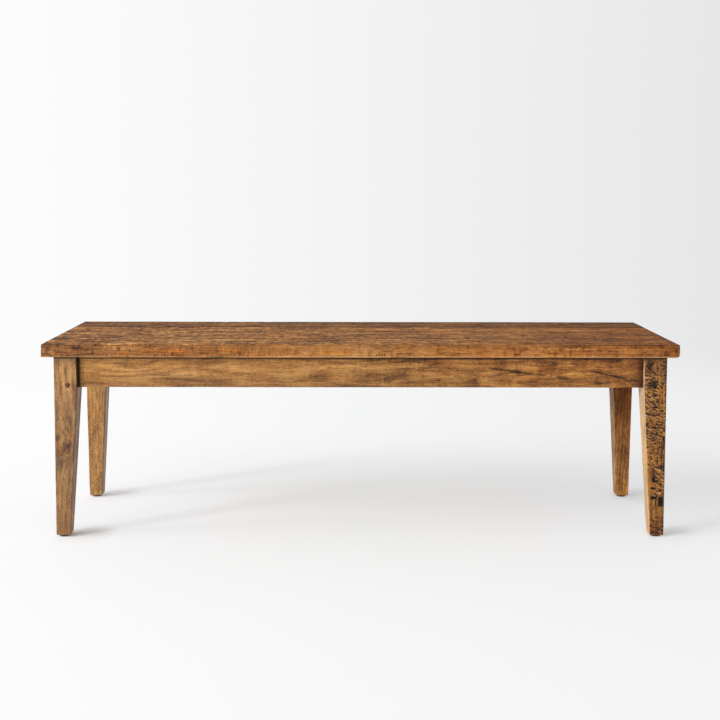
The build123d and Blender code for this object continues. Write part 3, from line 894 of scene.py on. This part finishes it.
LEG_MARKS = {
    "front_left": [
        (-697, 222, 5.6, 7.6, 20, 3, 62), (-690, 226, 3, 12, 14, 3, 50), (-704, 230, 9, 2.6, 34, 3, 50),
        (-698, 206, 11, 3, 12, 2, 42), (-703, 213, 9.5, 3.6, 42, 2, 50), (-712, 202, 9.6, 4.2, 35, 2, 40),
        (-699, 236, 9, 2.4, -12, 2, 45), (-708, 226, 8, 2.4, 62, 2, 40), (-698, 262, 14, 2.8, -58, 2, 55),
        (-706, 252, 13, 2.4, -42, 2, 40), (-691, 284, 12, 2.8, -60, 2, 50),
        (-699, 292, 11, 2.2, -60, 2, 35), (-716, 242, 4, 8, 0, 2, 35), (-684, 220, 2.1, 8.5, 0, 3, 50),
        (-725, 73, 3.8, 4.9, 0, 3, 40), (-709, 93, 3.8, 2.4, 0, 3, 45), (-720, 64, 3.3, 3.4, 0, 3, 40),
        (-696, 357, 5.7, 1.9, 0, 0, 0, 50),
    ],
    "front_right": [
        (685, 423, 5.6, 9.4, 8, 3, 60), (687, 411, 6.4, 7.6, 30, 3, 80), (681, 402, 4.6, 6.4, 0, 3, 70),
        (693, 419, 4.6, 7.4, -30, 3, 60), (696, 370, 12.5, 6.7, -20, 2, 80),
        (703, 376, 7.5, 5.7, -50, 2, 70), (702, 363, 4.5, 3.9, 0, 5, 100), (717, 363, 3.8, 3.4, 0, 5, 90),
        (703, 345, 4.8, 3.6, -20, 6, 100), (707, 329, 5.3, 3.9, -42, 6, 100),
        (703, 316, 6.9, 3.4, -10, 6, 100), (719, 307, 5, 2.9, -20, 6, 100),
        (705, 297, 3.1, 2.9, 0, 5, 90), (703, 267, 3.1, 2.9, 0, 5, 90), (710, 156, 10.1, 2.2, -15, 6, 75),
        (712, 145, 10.6, 2.2, -18, 6, 75), (717, 130, 10.6, 2.4, -18, 6, 85),
        (718, 115, 5.8, 3.9, -35, 5, 90), (703, 72, 2.4, 2.4, 0, 4, 85), (727, 39, 3.9, 34.3, 1.5, 0, 40),
    ],
}
BLACK_PATCHES = [
    (720, 87, 8.2, 16, 0, 5, 100), (703, 96, 10.4, 5, 0, 4, 100), (702, 140, 5.2, 8.8, 0, 4, 100),
    (709, 136, 4.4, 5.4, 0, 4, 90), (701, 158, 3.4, 15, 0, 4, 80), (701, 119, 8.4, 3.8, -3, 5, 100),
    (708, 83, 2.3, 11.8, 0, 4, 90), (684, 180, 2.9, 7, 0, 4, 95),
]
# Tinted places: place, half sizes and angle as above, and what the colour is multiplied by
LEG_TINTS = {
    "front_left": [
        (-686, 246, 8.1, 15.7, -35, 130, 98, 66), (-702, 218, 19, 22, 20, 72, 60, 48),
        (-700, 220, 11, 13, 20, 70, 52, 40), (-691, 275, 16.2, 5, -58, 50, 58, 72),
        (-720, 287, 5.3, 8.2, 0, 60, 70, 86), (-715, 180, 13.4, 26.2, 0, 62, 64, 68),
        (-706, 110, 21.4, 21.9, 0, 92, 94, 90), (-722, 240, 6.7, 14.3, 0, 58, 44, 36),
        (-711, 212, 13, 9, 40, 66, 62, 56), (-722, 300, 8, 44, 0, 78, 86, 98),
        (-720, 178, 7, 40, 0, 78, 84, 92), (-700, 308, 13.8, 4.4, -55, 66, 74, 86),
        (-699, 84, 12, 10, 30, 84, 72, 64), (-728, 398, 7, 44, 0, 82, 88, 98),
    ],
    "front_right": [
        (718, 108, 6.3, 2.9, 0, 170, 150, 130), (687, 414, 10, 17, 10, 62, 66, 80),
        (698, 372, 15, 10, -20, 62, 66, 80), (699, 272, 3.8, 4.8, 0, 140, 110, 90),
        (716, 401, 8.3, 21.6, 0, 115, 108, 100),
    ],
}
# The rear right leg darkens towards its top, most above 200 mm: painted shade under the front apron.
LEG_TONE = {
    "front_left": [
        (0, 78, 82, 75), (130, 77, 83, 76), (200, 67, 71, 70), (340, 93, 97, 92), (440, 120, 127, 118),
    ],
    "front_right": [(0, 97, 87, 45), (240, 102, 96, 54), (440, 112, 114, 100)],
    "rear_left": [(0, 104, 106, 76), (440, 110, 112, 90)],
    "rear_right": [(0, 78, 62, 17), (200, 71, 55, 16), (360, 46, 33, 10)],
}
# How the side that faces the camera differs from the rest of a leg, by height
CAMERA_SIDE_TONE = {
    "front_left": [
        (160, 97, 98, 100), (210, 114, 108, 104), (250, 100, 100, 100), (360, 93, 92, 90),
        (430, 103, 103, 103),
    ],
    "front_right": [
        (0, 46, 26, 2), (25, 55, 37, 10), (50, 84, 79, 70), (100, 102, 102, 104), (260, 90, 82, 66),
        (350, 124, 127, 114), (420, 97, 94, 88),
    ],
    "rear_left": [(0, 90, 98, 112), (100, 114, 120, 118), (200, 100, 97, 92), (290, 104, 110, 115)],
    "rear_right": [
        (0, 192, 255, 740), (130, 105, 122, 370), (170, 108, 120, 320), (220, 84, 85, 138),
        (290, 78, 70, 38), (340, 73, 68, 26),
    ],
}
LEG_FIGURE = (0.9, 0.9, 0.75, 1.15)
INNER_TONE = [(0, 94, 79, 53), (0, 120, 173, 445), (0, 80, 102, 180), (0, 110, 160, 490)]
# Light and dark stripes down the inner faces of the left legs, by depth from the leg's outer face
INNER_STRIPES = [
    (0, 50, 45, 42), (10, 62, 57, 54), (18, 140, 146, 154), (34, 130, 136, 142), (41, 62, 56, 54),
    (54, 46, 41, 39),
]
# A pale stripe down the side of the rear right leg that faces the camera
BRIGHT_STRIPE = [(0, 90, 85, 80), (2, 150, 135, 115), (7, 140, 130, 110), (11, 100, 100, 100)]
FRONT_LEFT_INNER = [(80, 120, 120, 112), (220, 110, 106, 98), (270, 88, 86, 80)]
# The front right leg's inner face: a little less blue low down, and painted paler from about 370 mm up, a
# painted light on the strip beside the apron that the seat's overhang shades.
FRONT_RIGHT_INNER = [(370, 100, 100, 92), (392, 145, 130, 100)]
BLADE_CUTS = [
    ((30, 54), (276, 404), (10.5, 5.6), (7.4, 1.8), 20, 1, 21, 0.1, 0.4),
    ((3, 30), (276, 420), (9.5, 6.6), (5.2, 1.9), 26, 0.95, 23, 0.26, 0.3),
    ((4, 53), (238, 278), (9.5, 4.8), (6.8, 1.7), 17, 1, 22, 0.04, 0.4),
    ((14, 52), (176, 240), (9, 6), (5.4, 1.9), 0, 0.85, 25, 0.26, 0.25),
    ((5, 15), (164, 240), (5, 17), (2.2, 11), 0, 1, 26, 0.06, 0),
    ((3, 8), (366, 430), (4.5, 5.6), (4.4, 2), 0, 0.85, 31, 0.15, 0),
    ((4, 36), (100, 174), (12, 7), (8, 1.9), 17, 0.9, 27, 0.2, 0.5),
    ((34, 52), (60, 172), (6.5, 7.4), (2.6, 1.4), 20, 0.5, 28, 0.4, 0),
    ((5, 50), (9, 52), (11, 5.4), (6.2, 1.9), 0, 0.85, 29, 0.15, 0.25),
    ((4, 52), (48, 80), (9, 9), (3.2, 1.5), 0, 0.6, 32, 0.45, 0.2),
    ((6, 50), (34, 78), (8, 4.6), (5, 1.5), 0, 0.4, 39, 0.25, 0),
    ((10, 40), (178, 236), (6, 4.6), (2.4, 1.5), 0, 0.5, 40, 0.3, 0),
]
REAR_LEFT_CUTS = [((3, 50), (14, 220), (7, 6.5), (4, 1.7), 48, 0.36, 33, 0.35, 0.35)]
# Seeds and places, in metres, of the black specks by the front right leg's top
BLACK_SPECKS = {34: ((0.036, 0.052), (0.404, 0.434)), 35: ((0.022, 0.046), (0.362, 0.382))}
# The rim of a peg's hole: its half size in millimetres, how dark and how pale
PEG_RIMS = [(6.65, 0, 0.4), (5.74, 0.62, 0)]


class Leg:
    """A leg's board, in its own frame: X and Y run inwards from the leg's outer corner."""

    def __init__(self, corner, step, seed):
        self.seed = seed
        self.side, self.face = CORNERS[corner]
        low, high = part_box(f"{corner}_leg")
        self.width = high.x - low.x
        self.outer = (low.x if self.side == LEFT else high.x, low.y if self.face == FRONT else high.y)
        self.taper_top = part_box("front_apron")[0].z - TAPER_DROP
        self.foot = low.z
        self.board = Board((0, 0, low.z), (self.width, self.width, high.z), step, self.radius)

    def radius(self, p):
        """Worn arrises, rounder round the foot."""
        worn = 1.9 * MM + 0.9 * MM * layered(p + self.seed, (0.03, 0.03, 0.05), 60 + self.seed)
        return worn + 1.8 * MM * smooth(self.foot + 8 * MM, self.foot + 1 * MM, p[:, Z])

    def share(self, z):
        """How wide the leg is at a height, as a share of its full width."""
        drop = np.clip((self.taper_top - z) / (self.taper_top - self.foot), 0, 1)
        return 1 - drop * (1 - FOOT_WIDTH / self.width)

    def warp(self, points):
        """Draws the two inner faces in towards the foot, about the leg's outer corner."""
        share = self.share(points[:, Z])
        placed = points.copy()
        placed[:, X] = self.outer[0] + self.side * points[:, X] * share
        placed[:, Y] = self.outer[1] + self.face * points[:, Y] * share
        return placed

    def mark(self, x, z, half_1, half_2, angle, *strengths, **extra):
        """A mark on the leg's outer face, front or rear, placed in the bench's millimetres."""
        share = self.share(z * MM)
        inward = self.side * (x * MM - self.outer[0]) / share
        half = (half_1 * MM / share, half_2 * MM)
        self.board.mark((Y, -1), (inward, z * MM), half, self.side * angle, *strengths, **extra)

    def marks(self, rows, **extra):
        for row in rows:
            self.mark(*row[:5], *measured(*row[5:]), **extra)

    def tints(self, rows):
        for row in rows:
            self.mark(*row[:5], tint=np.array(row[5:]) / 100, soft=0.25)


def mark_blade_cuts(board):
    """The front right leg: rough from the blade, with black specks near its top. X runs inwards."""
    face = (Y, -1)
    board.chatter(face, BLADE_CUTS)
    board.scatter(face, 50, (3, 9), (2, 5), (0.1, 0.5), (0.15, 0.4), 30, 20, turn=90)
    board.add_dirt_and_shade(0.85 * smooth(4.2 * MM, 1.2 * MM, board.flat[:, X]) * board.facing(*face))
    # Painted light: the inner face's strip beside the apron is made paler.
    board.shade(Z, FRONT_RIGHT_INNER, (X, 1))
    board.figure *= 1 - 0.6 * board.facing(X, 1)
    for seed, spans in BLACK_SPECKS.items():
        board.scatter(face, 34, (2, 5), (1.6, 3.4), (0.2, 0.5), (0.65, 1.0), seed, 50, spans=spans)


def make_legs():
    seat_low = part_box("seat_plank_1")[0].z
    for seed, (corner, (side, face)) in enumerate(CORNERS.items()):
        marked = corner == "front_right"
        step = LEFT_LEG_STEP if side == LEFT else RIGHT_LEG_STEP
        leg = Leg(corner, MARKED_LEG_STEP if marked else step, seed)
        board = leg.board
        flat = board.flat
        board.height -= 0.3 * MM * (1 + layered(flat + seed, (0.04, 0.04, 0.14), 70 + seed))
        for axis, sign in ((X, -1), (X, 1), (Y, -1), (Y, 1)):
            number = 200 + 20 * seed + 4 * axis + sign
            board.scatter((axis, sign), 34, (1.5, 3), (6, 26), (0.1, 0.3), (0.15, 0.4), number, 2)
            board.scatter((axis, sign), 14, (2, 4), (3, 6), (0.3, 0.8), (0.1, 0.45), number + 2, 20)
        board.shade(Z, LEG_TONE[corner])
        board.shade(Z, CAMERA_SIDE_TONE[corner], (Y, -face))
        board.shade(Z, [INNER_TONE[seed]], (X, 1))
        if side == LEFT:
            board.shade(Y, INNER_STRIPES, (X, 1))
        if corner == "rear_right":
            board.shade(X, BRIGHT_STRIPE, (Y, 1))
        if corner == "rear_left":
            for sign in (-1, 1):
                board.chatter((Y, sign), REAR_LEFT_CUTS)
        if corner == "front_left":
            board.add_dirt_and_shade(0.42 * smooth(3 * MM, 0.8 * MM, flat[:, X]) * board.facing(Y, -1))
            board.shade(Z, FRONT_LEFT_INNER, (X, 1))
        if marked:
            mark_blade_cuts(board)
            leg.marks(BLACK_PATCHES, square=True)
        leg.marks(LEG_MARKS.get(corner, []))
        leg.tints(LEG_TINTS.get(corner, []))
        board.figure *= LEG_FIGURE[seed]
        for axis, kind in ((Y, "long"), (X, "end")):
            peg = middle_of(f"{corner}_{kind}_peg")
            inward = abs(peg[1 - axis] - leg.outer[1 - axis])
            for half, dark, pale in PEG_RIMS:
                centre = (inward, peg.z)
                board.mark((axis, -1), centre, mm(half, half), 45, 0, dark, pale, 0.8, square=True)
        # Painted shade under the seat: a dark line along the top of each leg and a softer darkening just
        # below it, where the seat's overhang shades the leg.
        below = seat_low - flat[:, Z]
        board.add_dirt_and_shade(0.9 * smooth(9 * MM, 6.5 * MM, below))
        board.tone *= 1 - 0.25 * smooth(24 * MM, 8 * MM, below)[:, None]
        board.wear(81 + seed, 0.5, 0.35, (X, Y))
        pith = (leg.outer[0] + side * 0.075, leg.outer[1] + face * 0.055)
        look = Look(gloss=LEG_GLOSS[seed], **LEG_LOOK)
        finish = wood(f"leg_wood_{corner}", Z, 11 + seed, FRAME_PALETTE, pith, look)
        dress(f"worn_{corner}_leg", board, finish, f"{corner}_leg", leg.warp, side != face)


# Pegs


PEG_LOOK = Look(holes=0.0, cracks=0.2, chatter=0.0)
PEG_STEP = mm(1.0, 1.0, 2.0)
PEG_SIDE = 10 * MM
PEG_DEPTH = 9 * MM
PEG_RING = 3 * MM
PEG_ARRIS = 0.6 * MM


def peg_radius(p):
    return np.full(len(p), PEG_ARRIS)


def make_pegs():
    """Square heads set as diamonds, a little proud of the leg and rounded by wear."""
    pith, half = (0.3, 0.3), PEG_SIDE / 2
    finishes = [wood(f"peg_wood_{a}", a, 31 + a, PEG_PALETTE, pith, PEG_LOOK, PEG_RING) for a in (X, Y)]
    for corner, (side, face) in CORNERS.items():
        for axis, kind in ((Y, "long_peg"), (X, "end_peg")):
            node = f"{corner}_{kind}"
            low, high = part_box(node)
            middle = middle_of(node)
            inward = side if axis == X else face
            tip = low[axis] if inward > 0 else high[axis]
            board = Board((-half, -half, 0), (half, half, PEG_DEPTH), PEG_STEP, peg_radius)
            board.wear(300 + side + 2 * face + axis, 0.4, 0.25, (X, Y), 1.6 * MM)
            if node == "front_right_long_peg":
                board.add_dirt_and_shade(0.8)

            def warp(points):
                first, second, depth = points.T
                placed = np.empty_like(points)
                placed[:, axis] = tip + inward * depth
                placed[:, 1 - axis] = middle[1 - axis] + (first - second) / math.sqrt(2)
                placed[:, Z] = middle.z + (first + second) / math.sqrt(2)
                return placed

            flip = (inward < 0) == (axis == X)
            dress(f"worn_{node}", board, finishes[axis], node, warp, flip)


# Glides


GLIDE_SEGMENTS = 56
# The pad's outline from below to its top, as shares of its radius and height
GLIDE_RIM = [(0.35, 0), (0.84, 0), (0.93, 0.08), (0.98, 0.24), (1, 0.45), (1, 0.8), (0.97, 0.97), (0.9, 1)]


def make_glides():
    """Round pads with rolled rims."""
    pad = rubbery("glide_rubber")
    ring = circle(GLIDE_SEGMENTS)
    around = range(GLIDE_SEGMENTS)
    starts = [row * GLIDE_SEGMENTS for row in range(len(GLIDE_RIM))]
    turns = [(n, (n + 1) % GLIDE_SEGMENTS) for n in around]
    faces = [[a + n, a + m, b + m, b + n] for a, b in zip(starts, starts[1:]) for n, m in turns]
    faces += [list(around)[::-1], [starts[-1] + n for n in around]]
    for corner in CORNERS:
        node = f"{corner}_glide"
        low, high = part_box(node)
        middle, radius, height = (low + high) / 2, (high.x - low.x) / 2, high.z - low.z
        rings = [ring * (out * radius) + (middle.x, middle.y, low.z + up * height) for out, up in GLIDE_RIM]
        stand_in(make_object(f"rolled_{node}", np.concatenate(rings), faces, pad), node)


# Aprons


APRON_LOOK = Look(
    weather=0.9, cloud=(20, 90), streak=0.5, fibre=0.62, curl=0.28, chatter=0.12, cracks=0.5,
    pores=0.7, gloss=0.3,
)
APRON_FIGURE = 0.85
APRON_STEP = mm(3.6, 3.6, 3.2)
FRONT_APRON_STEP = mm(2.1, 4.0, 1.8)
FRONT_APRON_MARKS = [
    (-578, 387, 52.2, 2.3, -1, 2, 42), (-635, 371, 30.9, 2.4, 0, 2, 34), (-478, 391, 33.8, 2.4, 1, 2, 38),
    (-431, 380, 71.3, 3, -2, 2, 38), (-372, 386, 40, 2.2, 2, 2, 30), (-103, 383, 31, 11.1, -3, 2, 25),
    (-112, 388, 19.1, 2.2, -6, 3, 35), (-93, 378, 19.1, 2.2, 4, 3, 35), (5, 378, 42.9, 1.7, 0, 2, 30),
    (10, 373, 35.8, 1.7, 0, 2, 28), (98, 396, 15.5, 4.8, -8, 2, 30), (58, 382, 4.1, 3.4, 0, 5, 55),
    (79, 382, 4.1, 3.4, 0, 5, 55), (174, 379, 16.7, 2.4, 0, 3, 40), (187, 379, 2.9, 2.7, 0, 9, 90),
    (236, 386, 7.6, 2.2, 0, 3, 45), (276, 383, 11, 2.2, 0, 3, 45), (331, 405, 34, 3.4, -7.4, 4, 72),
    (369, 399.5, 29, 5, -8, 5, 84), (396, 396, 23, 3.8, -7, 4, 74), (426, 392, 20, 3.1, -6, 3, 70),
    (481, 385.5, 23, 3.2, -8, 4, 68), (528, 380, 24.6, 2.2, -3, 3, 40), (571, 397, 24, 2.8, -14, 5, 80),
    (614, 387, 29, 3, -12.7, 5, 78), (655, 379, 20.2, 2.6, -9.3, 4, 65), (62, 392, 9, 2.6, 20, 3, 40),
    (84, 388, 8, 2.6, -25, 3, 45), (70, 376, 10, 2.4, 10, 3, 40), (104, 381, 9, 2.6, -12, 3, 40),
    (327, 378, 29.9, 2.2, 0, 2, 35), (379, 418, 20.3, 4.3, 0, 3, 28), (461, 420, 4.8, 4.1, 0, 5, 50),
]
FRONT_APRON_CUTS = [
    ((330, 480), (409, 432), (7.5, 7), (3.2, 1.5), 62, 0.34, 36, 0.35, 0),
    ((110, 300), (414, 430), (10, 8), (3.2, 1.5), 66, 0.2, 37, 0.5, 0),
]
KNOTTY_PLACE = ((0.046, 0.118), (0.368, 0.397))
FRONT_APRON_FADE = [
    (366, 82, 82, 82), (382, 86, 86, 86), (392, 99, 99, 99), (405, 104, 104, 103), (416, 116, 116, 112),
    (430, 114, 114, 110),
]
# The front apron's last few centimetres by the right leg turn nearly black: painted shade in that corner.
APRON_TONE = {
    "front_apron": [
        (-680, 145, 158, 152), (-300, 126, 134, 126), (0, 109, 112, 97), (350, 113, 105, 80),
        (640, 118, 107, 77), (672, 46, 26, 6),
    ],
    "rear_apron": [(0, 110, 110, 100)],
    "left_apron": [(0, 110, 110, 100)],
    "right_apron": [(0, 100, 96, 90)],
}


def mark_front_apron(board):
    face, flat = (Y, -1), board.flat
    band = smooth(0.020, 0.004, abs(flat[:, Z] - 0.404)) * smooth(0.25, -0.3, flat[:, X])
    board.tone *= 1 + 0.14 * band[:, None]
    board.shade(Z, FRONT_APRON_FADE)
    board.figure *= 0.8 + 0.46 * smooth(-0.3, 0.1, flat[:, X])
    board.chatter(face, FRONT_APRON_CUTS)
    board.scatter(face, 46, (3, 7), (1.6, 2.4), (0.2, 0.4), (0.15, 0.42), 38, 50, spans=KNOTTY_PLACE)
    board.marks(face, FRONT_APRON_MARKS)
    board.mark(face, (0.077, 0.385), (0.05, 0.015), tint=(0.72, 0.64, 0.58), soft=0.1)


def make_aprons():
    """The aprons between the legs, the long ones first."""
    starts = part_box("front_left_leg")[1]
    ends = (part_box("front_right_leg")[0].x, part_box("rear_left_leg")[0].y)
    for seed, name in enumerate(APRON_TONE):
        low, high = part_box(name)
        along, across = (X, Y) if seed < 2 else (Y, X)
        low_corner, high_corner = list(low), list(high)
        low_corner[along], high_corner[along] = starts[along], ends[along]

        def radius(p):
            return 1.5 * MM + 0.7 * MM * layered(p, (0.05, 0.05, 0.05), 80 + seed)

        front = name == "front_apron"
        board = Board(low_corner, high_corner, FRONT_APRON_STEP if front else APRON_STEP, radius)
        flat = board.flat
        board.height -= 0.3 * MM * (1 + layered(flat, (0.2, 0.2, 0.04), 90 + seed))
        for sign in (-1, 1):
            face, number = (across, sign), 400 + 10 * seed + sign
            board.scatter(face, 90, (6, 34), (1.4, 2.6), (0.1, 0.3), (0.12, 0.36), number, 3)
            board.scatter(face, 16, (4, 9), (3, 5), (0.3, 0.7), (0.1, 0.4), number + 5, 20)
        board.shade(along, APRON_TONE[name])
        # Painted shade under the seat's overhang: each apron darkens towards its top, the front one less.
        upper = smooth(high.z - 26 * MM, high.z - 10 * MM, flat[:, Z])
        board.tone *= 1 - (0.1 if front else 0.22) * upper[:, None]
        if front:
            mark_front_apron(board)
        near_start, near_end = flat[:, along] - starts[along], ends[along] - flat[:, along]
        near_leg = np.minimum(near_start, near_end)
        # Painted shade: a dark line along each apron's top, just under the seat.
        board.add_dirt_and_shade(0.8 * smooth(11.5 * MM, 8.5 * MM, high.z - flat[:, Z]))
        # Painted shade in the corners where the aprons meet the legs: darker towards both legs, and nearly
        # black close to the leg at the left end of the long aprons and the front end of the short ones.
        board.add_dirt_and_shade(0.2 * smooth(6.5 * MM, 4 * MM, near_leg) + 0.4 * smooth(20 * MM, 4 * MM, near_leg))
        board.add_dirt_and_shade(0.97 * smooth(7.6 * MM, 5.4 * MM, near_start))
        board.wear(95 + seed, 0.4, 0.25, (across, Z))
        board.figure *= APRON_FIGURE
        pith = ((low[across] + high[across]) / 2 + 0.06, low.z + 0.02)
        finish = wood(f"apron_wood_{name}", along, 21 + seed, FRAME_PALETTE, pith, APRON_LOOK)
        dress(f"worn_{name}", board, finish, name)


# Pieces that keep their CAD shape


def paint_cad_nodes():
    hidden_x = plain_wood("hidden_wood_x", X, 2.0, HIDDEN_PALETTE)
    hidden_y = plain_wood("hidden_wood_y", Y, 5.0, HIDDEN_PALETTE)
    metal = steel("zinc_steel")
    for name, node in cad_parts.items():
        if name.endswith("_cross_rail"):
            finish = hidden_y
        elif "_button_" in name or name.endswith("_corner_block"):
            finish = hidden_x
        elif "screws" in name or "nails" in name:
            finish = metal
        else:
            continue
        node.data.materials.clear()
        node.data.materials.append(finish)


bpy.context.scene.view_settings.view_transform = "Standard"
make_camera()
make_world()
make_floor()
make_windows()
make_seat()
make_legs()
make_pegs()
make_glides()
make_aprons()
paint_cad_nodes()
